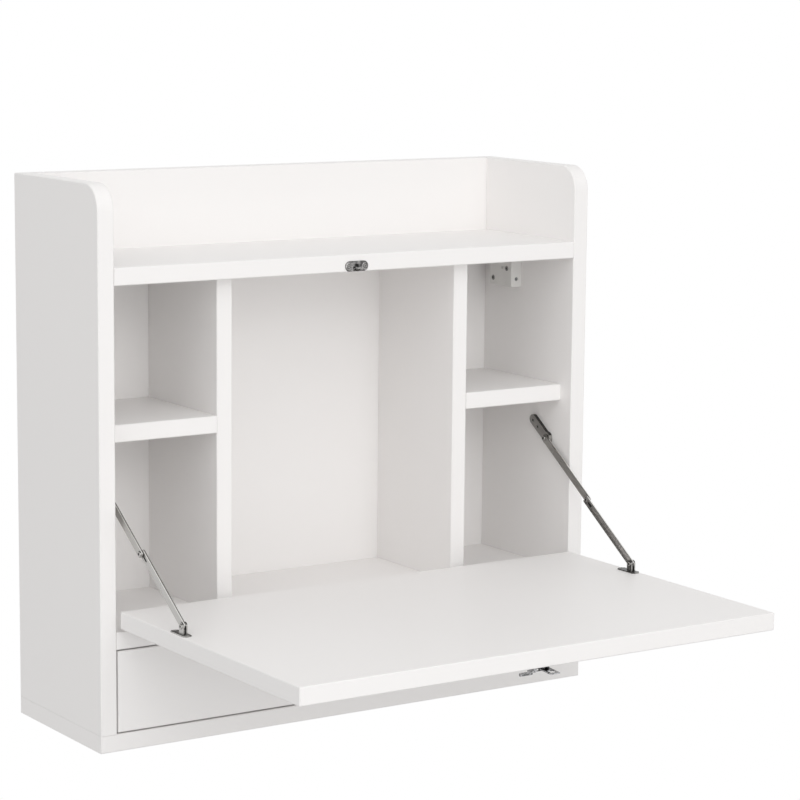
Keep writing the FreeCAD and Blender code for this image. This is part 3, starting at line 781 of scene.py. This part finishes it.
def sink(mesh, top, axis, cuts, inside, depth, taper=1.0):
    """Press a recess into a flat face: cut it along planes, then push in the part that passes a test."""
    def top_faces():
        return [face for face in mesh.faces
                if all(same((vertex.co - top).dot(axis), 0) for vertex in face.verts)]

    bmesh.ops.dissolve_faces(mesh, faces=top_faces(), use_verts=True)
    for direction, offset in cuts:
        faces = top_faces()
        edges = dict.fromkeys(edge for face in faces for edge in face.edges)
        corners = dict.fromkeys(vertex for face in faces for vertex in face.verts)
        bmesh.ops.bisect_plane(mesh, geom=[*faces, *edges, *corners], dist=MERGE_DISTANCE,
                               plane_co=top + direction * offset, plane_no=direction)
    chosen = [face for face in top_faces() if inside(face.calc_center_median() - top)]
    pressed = bmesh.ops.extrude_face_region(mesh, geom=chosen)["geom"]
    bottom = [item for item in pressed if isinstance(item, bmesh.types.BMVert)]
    bmesh.ops.transform(mesh, matrix=Matrix.Scale(taper, 4), space=Matrix.Translation(-top), verts=bottom)
    bmesh.ops.translate(mesh, vec=axis * depth, verts=bottom)
    bmesh.ops.delete(mesh, geom=[face for face in chosen if face.is_valid], context="FACES_ONLY")
    # The recess's sides and floor take the second material, painted shade
    for vertex in bottom:
        for face in vertex.link_faces:
            face.material_index = 1


def cut_cross(mesh, top, axis, head, depth, sizes):
    """Sink a cross recess in a flat head."""
    across = axis.orthogonal().normalized()
    directions = (across, axis.cross(across))
    reach = head * sizes.recess_length_share
    half = head * sizes.recess_width_share
    cuts = [(direction, offset) for direction in directions for offset in (-reach, -half, half, reach)]

    def in_cross(offset):
        near, far = sorted(abs(offset.dot(direction)) for direction in directions)
        return near < half and far < reach

    sink(mesh, top, axis, cuts, in_cross, depth, sizes.recess_taper)


def turn_screw(start, axis, profile, rounding, head, depth, sizes):
    """Screw of a profile that begins with its flat head, with a rounded rim and a cross recess."""
    level, rim = profile[1]
    mesh = bmesh.new()
    turn_profile(mesh, start, axis, profile, sizes.steps)
    round_edges(mesh, circle_at(mesh, start, axis, level, rim), rounding)
    cut_cross(mesh, start + axis * level, axis, head, depth, sizes)
    return mesh


def make_screw(seat, axis, head, shank, length, sizes):
    """Countersunk screw with a raised head and a cross recess; the axis runs into the board."""
    rim = head + sizes.rim
    neck = head - shank
    profile = [(-sizes.rise, 0), (-sizes.rise, rim), (0, rim), (neck, shank), (length, shank), (length, 0)]
    return turn_screw(seat, axis, profile, sizes.rise * RIM_SHARE, head, sizes.recess_depth, sizes)


def make_leaf_screw(seat, axis, sizes):
    """Nearly flush screw in a hinge leaf, with a shallow cross."""
    head = sizes.hinge_head
    rise = sizes.hinge_rise
    profile = [(-rise, 0), (-rise, head), (0, head), (sizes.hinge_length, 0)]
    return turn_screw(seat, axis, profile, rise / 2, head, rise * SHALLOW_SHARE, sizes)


def make_adjuster(points, sizes):
    """Round adjusting screw in a hanger, with a cross recess in its front end."""
    low, high = corners_of(points)
    middle = (low + high) / 2
    start = Vector((middle.x, low.y, middle.z))
    radius = (high.z - low.z) / 2
    length = high.y - low.y
    profile = [(0, 0), (0, radius), (length, radius), (length, 0)]
    return turn_screw(start, Y_AXIS, profile, sizes.rise, radius, sizes.recess_depth, sizes)


def packed_screw(points):
    """Seat, axis, head radius, shank radius and length of a packed screw."""
    low, high = corners_of(points)
    index = max(range(3), key=lambda number: (high - low)[number])
    axis = (X_AXIS, Y_AXIS, Z_AXIS)[index]
    middle = (low + high) / 2

    def widest(level):
        ring = [point - middle for point in points if same(point[index], level)]
        return max((offset - axis * offset.dot(axis)).length for offset in ring)

    radii = {low[index]: widest(low[index]), high[index]: widest(high[index])}
    seat_level = max(radii, key=radii.get)
    far_level = min(radii, key=radii.get)
    seat = middle + axis * (seat_level - middle[index])
    inwards = axis if far_level > seat_level else -axis
    return seat, inwards, radii[seat_level], radii[far_level], abs(far_level - seat_level)


def packed_steps(points):
    """Start, end and radius of each step of a packed rivet along X, from a start on its axis."""
    low, high = corners_of(points)
    middle = (low + high) / 2
    start = Vector((low.x, middle.y, middle.z))
    rings = [(point.x - low.x, (point - start).yz.length) for point in points]
    levels = []
    for level in sorted(level for level, radius in rings):
        if not levels or not same(level, levels[-1]):
            levels.append(level)

    def radii_at(wanted):
        return [radius for level, radius in rings if same(level, wanted)]

    steps = []
    for near, far in zip(levels, levels[1:]):
        both = [radius for radius in radii_at(near) if any(same(radius, other) for other in radii_at(far))]
        steps.append((near, far, min(both)))
    return start, steps


def make_rivet(start, steps, sizes):
    """Turned rivet along X, with rounded and dimpled heads where its widest steps end it; the dimples take
    painted shade.
    """
    head = max(radius for near, far, radius in steps)
    thickness = min(far - near for near, far, radius in steps if same(radius, head))
    rounding = min(sizes.head_rounding, thickness * RIM_SHARE)
    dimple = head * sizes.dimple_share
    profile = [(level, radius) for near, far, radius in steps for level in (near, far)]
    end = profile[-1][0]
    heads = []
    if same(profile[0][1], head):
        profile = [(sizes.dimple_depth, 0), (sizes.dimple_depth, dimple), (0, dimple), *profile]
        heads.append(0)
    else:
        profile.insert(0, (0, 0))
    if same(profile[-1][1], head):
        bottom = end - sizes.dimple_depth
        profile += [(end, dimple), (bottom, dimple), (bottom, 0)]
        heads.append(end)
    else:
        profile.append((end, 0))
    mesh = bmesh.new()
    turn_profile(mesh, start, X_AXIS, profile, sizes.steps)
    for level in heads:
        round_edges(mesh, circle_at(mesh, start, X_AXIS, level, head), rounding, segments=4)
    # The dimples' faces take the second material, painted shade
    for face in mesh.faces:
        offset = face.calc_center_median() - start
        near_head = any(abs(offset.x - level) < sizes.dimple_depth + PLACE_TOLERANCE for level in heads)
        if near_head and offset.yz.length < dimple:
            face.material_index = 1
    return mesh


def make_latch_rivets(sizes, sheet):
    """Pair of rivets through the ears of the latch's base, with domed heads outside."""
    group = bmesh.new()
    for points in solids_of("latch_lever_rivets"):
        start, steps = packed_steps(points)
        (near, far, radius), = steps
        head, rise = sizes.latch_head_radius, sizes.latch_head_rise
        if start.x > 0:
            steps = [(near, far + sheet, radius), (far + sheet, far + sheet + rise, head)]
        else:
            start.x -= sheet + rise
            steps = [(0, rise, head), (rise, rise + sheet + far, radius)]
        join_into(group, make_rivet(start, steps, sizes))
    return group


def make_bar(place, size, through, segments):
    """Flat bar of a width in its own Z, with its ends round about a direction through it."""
    mesh = bmesh.new()
    bmesh.ops.create_cube(mesh, size=1, matrix=place @ Matrix.Diagonal((*size, 1)))
    ends = [edge for edge in mesh.edges
            if not same(edge.verts[0].co.dot(through), edge.verts[1].co.dot(through))]
    round_edges(mesh, ends, size[2] * END_SHARE, segments)
    return mesh


def make_insert(side, sizes):
    """Round-ended insert that fills the stop window in a stay's lower arm."""
    low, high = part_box(side + "_lower_arm")
    elbow = sum(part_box(side + "_lower_elbow_rivet"), Vector()) / 2
    foot = sum(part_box(side + "_foot_pin"), Vector()) / 2
    slope = math.atan2(foot.z - elbow.z, foot.y - elbow.y)
    along = Vector((0, math.cos(slope), math.sin(slope)))
    middle = elbow + along * sizes.insert_place
    inset = sizes.insert_thickness / 2
    middle.x = low.x + inset if side == "left" else high.x - inset
    place = Matrix.Translation(middle) @ Matrix.Rotation(slope, 4, "X")
    size = (sizes.insert_thickness, sizes.insert_length, sizes.insert_width)
    return make_bar(place, size, X_AXIS, segments=6)


def make_tongue(tip, face, root, sizes):
    """Tongue of the strike: out from the plate's face, then up, with a rounded bend."""
    mesh = bmesh.new()
    behind = tip + sizes.sheet
    over = root + sizes.sheet
    end = root + sizes.tongue_height
    outline = [(face, root), (face, over), (behind, over), (behind, end), (tip, end), (tip, root)]
    side = mesh.faces.new([mesh.verts.new((-sizes.tongue_width / 2, y, z)) for y, z in outline])
    drawn = bmesh.ops.extrude_face_region(mesh, geom=[side])["geom"]
    far = [item for item in drawn if isinstance(item, bmesh.types.BMVert)]
    bmesh.ops.translate(mesh, vec=X_AXIS * sizes.tongue_width, verts=far)
    bmesh.ops.recalc_face_normals(mesh, faces=mesh.faces)

    def along(y, z):
        return [edge for edge in mesh.edges
                if all(same(vertex.co.y, y) and same(vertex.co.z, z) for vertex in edge.verts)]

    round_edges(mesh, along(tip, root), sizes.sheet * RIM_SHARE, segments=5)
    round_edges(mesh, along(tip, end) + along(behind, end), sizes.sheet * TIP_SHARE)
    return mesh


def make_ring(seat, axis, head, sizes, steps):
    """Ring that is pressed up round a screw of the strike, with painted shade on its inner slope."""
    outer = head + sizes.ring_width * RING_REACH_SHARE
    inner = outer - sizes.ring_width
    ridge = (inner + outer) / 2
    buried = sizes.sheet / 2
    crown = (-sizes.ring_rise, ridge)
    profile = [(buried, inner), (0, inner), crown, (0, outer), (buried, outer), (buried, inner)]
    mesh = bmesh.new()
    turn_profile(mesh, seat, axis, profile, steps)
    round_edges(mesh, circle_at(mesh, seat, axis, -sizes.ring_rise, ridge), sizes.ring_rise / 2)
    # The inner slope takes the second material, painted shade
    for face in mesh.faces:
        offset = face.calc_center_median() - seat
        if (offset - axis * offset.dot(axis)).length < ridge - sizes.ring_rise / 2:
            face.material_index = 1
    return mesh


def make_strike(sizes, steps):
    """Pressed strike: round-ended plate with a window, a slot and an upturned tongue."""
    low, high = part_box("strike_plate")
    height = high.z - low.z
    face = high.y - sizes.sheet
    place = Matrix.Translation(((low.x + high.x) / 2, high.y - sizes.sheet / 2, (low.z + high.z) / 2))
    mesh = make_bar(place, (high.x - low.x, sizes.sheet, height), Y_AXIS, segments=10)
    rim = [edge for edge in mesh.edges if all(same(vertex.co.y, face) for vertex in edge.verts)]
    round_edges(mesh, rim, sizes.rim_rounding, segments=4)
    root = low.z + sizes.tongue_inset
    # The window and the slot are sunk, and their sides and floors take painted shade
    for width, bottom, tall in ((sizes.window_width, root + sizes.sheet, sizes.window_height),
                                (sizes.slot_width, root - sizes.slot_height, sizes.slot_height)):
        top = Vector((0, face, bottom + tall / 2))
        cuts = [(X_AXIS, -width / 2), (X_AXIS, width / 2), (Z_AXIS, -tall / 2), (Z_AXIS, tall / 2)]
        sink(mesh, top, Y_AXIS, cuts,
             lambda offset: abs(offset.x) < width / 2 and abs(offset.z) < tall / 2, sizes.sink_depth)
    join_into(mesh, make_tongue(low.y, face, root, sizes))
    for points in solids_of("carcass_screws"):
        seat, axis, head, _, _ = packed_screw(points)
        if low.x < seat.x < high.x and low.z < seat.z < high.z:
            join_into(mesh, make_ring(seat, axis, head, sizes, steps))
    return mesh


def leaf_seats(node, sizes):
    """Three staggered places on the free face of a hinge leaf, and the direction into it."""
    points = [point for solid in solids_of(node) for point in solid]
    low, high = corners_of(points)
    if "fixed" in node:
        free, reach, face = 1, 2, -Z_AXIS
    else:
        free, reach, face = 2, 1, -Y_AXIS
    level = max(point[reach] for point in points if same(point[free], high[free]))
    middle = (low.x + high.x) / 2
    spread = (high.x - low.x) / 2 - sizes.hinge_inset
    seats = []
    for share in (-1, 0, 1):
        seat = Vector((middle + share * spread, 0, 0))
        seat[free] = high[free] - sizes.hinge_inset * (1 if share else STAGGER_SHARE)
        seat[reach] = level
        seats.append(seat)
    return seats, face


# Stage

def seen_white(finish):
    """1 for what the camera, a reflection or a see-through surface sees, and 0 for the light that falls."""
    path = finish.node("ShaderNodeLightPath", output="Is Camera Ray")
    outputs = path.socket.node.outputs
    total = path + Value(finish, outputs["Is Glossy Ray"]) + Value(finish, outputs["Is Transmission Ray"])
    return total > 0.5


def lay_floor(stage):
    """Wide pale floor at the height that the desk hangs above."""
    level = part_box("desk_panel")[1].z - stage.writing_height
    mesh = bmesh.new()
    bmesh.ops.create_grid(mesh, x_segments=1, y_segments=1, size=stage.floor_size / 2)
    bmesh.ops.translate(mesh, vec=(0, 0, level), verts=mesh.verts)
    data = bpy.data.meshes.new("floor")
    mesh.to_mesh(data)
    mesh.free()
    floor = bpy.data.objects.new("floor", data)
    bpy.context.scene.collection.objects.link(floor)
    finish = start_finish("pale_floor")
    matt = finish.node("ShaderNodeBsdfDiffuse", {}, {"Color": stage.floor_colour})
    white = finish.node("ShaderNodeEmission", {}, {"Color": WHITE})
    reach = 1 / stage.shadow_reach
    nearness = finish.node("ShaderNodeTexGradient", {"gradient_type": "SPHERICAL"},
                           {"Vector": finish.place(scale=(reach, reach, 0))}, "Fac")
    share = seen_white(finish) * (1 - nearness * stage.shadow_share)
    mixed = finish.node("ShaderNodeMixShader", {}, {0: share, 1: matt, 2: white})
    finish.node("ShaderNodeOutputMaterial", {}, {"Surface": mixed})
    data.materials.append(finish.owner)
    floor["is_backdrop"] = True


def light_world(scene, stage):
    """Even light from all around, before a white background."""
    finish = Finish(bpy.data.worlds.new("studio"))
    light = finish.node("ShaderNodeBackground", {}, {"Color": WHITE, "Strength": stage.sky_light})
    white = finish.node("ShaderNodeBackground", {}, {"Color": WHITE, "Strength": 1.0})
    mixed = finish.node("ShaderNodeMixShader", {}, {0: seen_white(finish), 1: light, 2: white})
    finish.node("ShaderNodeOutputWorld", {}, {"Surface": mixed})
    scene.world = finish.owner


def hang_lamp(name, place, size, power):
    """Square soft lamp that points at the desk."""
    light = bpy.data.lights.new(name, "AREA")
    light.size = size
    light.energy = power
    lamp = bpy.data.objects.new(name, light)
    lamp.location = place
    lamp.rotation_euler = (-Vector(place)).to_track_quat("-Z", "Y").to_euler()
    bpy.context.scene.collection.objects.link(lamp)


def stand_camera(scene, stage):
    """Camera at the photo's place and angle."""
    yaw, pitch, roll = stage.camera_turn
    lens = bpy.data.cameras.new("camera")
    lens.lens = stage.lens
    lens.sensor_width = SENSOR_WIDTH
    camera = bpy.data.objects.new("camera", lens)
    turn = Matrix.Rotation(-yaw, 4, "Z")
    tilt = Matrix.Rotation(QUARTER_TURN - pitch, 4, "X")
    lean = Matrix.Rotation(roll, 4, "Z")
    camera.matrix_world = Matrix.Translation(stage.camera_place) @ turn @ tilt @ lean
    scene.collection.objects.link(camera)
    scene.camera = camera


# Operators

class WALLDESK_OT_boards(bpy.types.Operator):
    """Finish the cabinet's boards, the desk panel and the drawer's walls."""

    bl_idname = "walldesk.boards"
    bl_label = "Finish boards"

    def execute(self, context):
        look = context.scene.wall_desk_boards
        dress(nodes_in("white_boards"), make_melamine(look))
        dress(["back_panel"], make_milled_board(look))
        return {"FINISHED"}


class WALLDESK_OT_drawer(bpy.types.Operator):
    """Finish the drawer's hardboard bottom and its runners."""

    bl_idname = "walldesk.drawer"
    bl_label = "Finish drawer"

    def execute(self, context):
        dress(nodes_in("drawer_board"), make_hardboard(context.scene.wall_desk_boards))
        dress(nodes_in("runner_plastic"), make_plastic("runner_plastic", context.scene.wall_desk_plastic))
        return {"FINISHED"}


class WALLDESK_OT_hangers(bpy.types.Operator):
    """Finish the hangers and wall plates, and make the hangers' adjusting screws."""

    bl_idname = "walldesk.hangers"
    bl_label = "Make hangers"

    def execute(self, context):
        look = context.scene.wall_desk_metal
        dress(nodes_in("hanger_plastic"), make_plastic("hanger_plastic", context.scene.wall_desk_plastic))
        zinc = make_zinc(look)
        dress(nodes_in("zinc_steel"), zinc)
        nodes = [side + "_hanger_adjuster" for side in SIDES]
        group = bmesh.new()
        for node in nodes:
            for points in solids_of(node):
                join_into(group, make_adjuster(points, context.scene.wall_desk_fasteners))
        place_piece("round_hanger_adjusters", group, [zinc, zinc], "cabinet", nodes)
        return {"FINISHED"}


class WALLDESK_OT_hinges(bpy.types.Operator):
    """Finish the butt hinges and make their screws."""

    bl_idname = "walldesk.hinges"
    bl_label = "Make hinges"

    def execute(self, context):
        look = context.scene.wall_desk_metal
        sizes = context.scene.wall_desk_fasteners
        dress(nodes_in("hinge_steel"), make_brushed("hinge_nickel", look, look.hinge_colour))
        materials = screw_materials(look)
        for leaf, body in (("fixed_leaf", "cabinet"), ("moving_leaf", "desk")):
            group = bmesh.new()
            for side in SIDES:
                seats, inwards = leaf_seats(side + "_hinge_" + leaf, sizes)
                for seat in seats:
                    join_into(group, make_leaf_screw(seat, inwards, sizes))
            place_piece(body + "_hinge_screws", group, materials, body)
        return {"FINISHED"}


class WALLDESK_OT_stays(bpy.types.Operator):
    """Finish the folding stays and make their rivets."""

    bl_idname = "walldesk.stays"
    bl_label = "Make stays"

    def execute(self, context):
        look = context.scene.wall_desk_metal
        sizes = context.scene.wall_desk_fasteners
        # Near-black painted shade for the rivets' dimples; the stop inserts take the same finish
        painted_shade = shared("recess_grime", make_recess_shade, look)
        materials = [dress_stays(look), painted_shade]
        for side in SIDES:
            insert = make_insert(side, sizes)
            place_piece(side + "_stop_insert", insert, [painted_shade], side + "_stay_lower")
            for rivet in ("_shoulder_rivet", "_upper_elbow_rivet", "_lower_elbow_rivet", "_foot_pin"):
                node = side + rivet
                points, = solids_of(node)
                mesh = make_rivet(*packed_steps(points), sizes)
                place_piece("round_" + node, mesh, materials, body_of(node), [node])
        return {"FINISHED"}


class WALLDESK_OT_latch(bpy.types.Operator):
    """Finish the toggle latch, and make its rivets and its strike."""

    bl_idname = "walldesk.latch"
    bl_label = "Make latch"

    def execute(self, context):
        look = context.scene.wall_desk_metal
        strike = context.scene.wall_desk_strike
        sizes = context.scene.wall_desk_fasteners
        # Near-black painted shade for the rivets' dimples and the strike's recesses; the chromes get painted
        # shade between close faces
        painted_shade = shared("recess_grime", make_recess_shade, look)
        chrome = make_chrome("latch_chrome", look, look.latch_colour, look.edge_round, painted_shade=0.3)
        dress(nodes_in("latch_chrome"), chrome)
        mesh = make_latch_rivets(sizes, strike.sheet)
        place_piece("domed_latch_rivets", mesh, [chrome, painted_shade], "desk",
                    ["latch_lever_rivets"])
        dark_chrome = make_chrome("strike_chrome", look, look.strike_colour, look.edge_highlight_width, painted_shade=0.8)
        mesh = make_strike(strike, sizes.steps)
        place_piece("pressed_strike", mesh, [dark_chrome, painted_shade], "cabinet", ["strike_plate"])
        return {"FINISHED"}


class WALLDESK_OT_screws(bpy.types.Operator):
    """Make the cross-head screws of the cabinet and the desk."""

    bl_idname = "walldesk.screws"
    bl_label = "Make screws"

    def execute(self, context):
        look = context.scene.wall_desk_metal
        materials = screw_materials(look)
        for node in nodes_in("screw_steel"):
            group = bmesh.new()
            for points in solids_of(node):
                join_into(group, make_screw(*packed_screw(points), context.scene.wall_desk_fasteners))
            place_piece("round_" + node, group, materials, body_of(node), [node])
        return {"FINISHED"}


class WALLDESK_OT_stage(bpy.types.Operator):
    """Lay the floor, light the desk and stand the camera where the photo was taken."""

    bl_idname = "walldesk.stage"
    bl_label = "Set stage"

    def execute(self, context):
        stage = context.scene.wall_desk_stage
        lay_floor(stage)
        light_world(context.scene, stage)
        hang_lamp("front_lamp", stage.front_place, stage.lamp_size, stage.front_power)
        hang_lamp("high_lamp", stage.high_place, stage.lamp_size, stage.high_power)
        hang_lamp("left_lamp", stage.left_place, stage.lamp_size, stage.left_power)
        stand_camera(context.scene, stage)
        context.scene.view_settings.view_transform = "Standard"
        return {"FINISHED"}


# Panel and registration

class WALLDESK_PT_steps(bpy.types.Panel):
    """Steps that make the wall desk."""

    bl_idname = "WALLDESK_PT_steps"
    bl_label = "Wall Desk"
    bl_space_type = "VIEW_3D"
    bl_region_type = "UI"
    bl_category = "Wall Desk"

    def draw(self, context):
        for operator in OPERATORS:
            self.layout.operator(operator.bl_idname)


OPERATORS = (
    WALLDESK_OT_boards,
    WALLDESK_OT_drawer,
    WALLDESK_OT_hangers,
    WALLDESK_OT_hinges,
    WALLDESK_OT_stays,
    WALLDESK_OT_latch,
    WALLDESK_OT_screws,
    WALLDESK_OT_stage,
)
CLASSES = (*SETTINGS.values(), *OPERATORS, WALLDESK_PT_steps)


def register():
    """Register the settings, operators and panel."""
    for item in CLASSES:
        bpy.utils.register_class(item)
    for name, settings in SETTINGS.items():
        setattr(bpy.types.Scene, name, PointerProperty(type=settings))


def unregister():
    """Take the settings, operators and panel out again."""
    for name in SETTINGS:
        delattr(bpy.types.Scene, name)
    for item in reversed(CLASSES):
        bpy.utils.unregister_class(item)


def main():
    """Make the desk's looks and its stage."""
    register()
    bpy.ops.walldesk.boards()
    bpy.ops.walldesk.drawer()
    bpy.ops.walldesk.hangers()
    bpy.ops.walldesk.hinges()
    bpy.ops.walldesk.stays()
    bpy.ops.walldesk.latch()
    bpy.ops.walldesk.screws()
    bpy.ops.walldesk.stage()


if __name__ == "__main__":
    main()
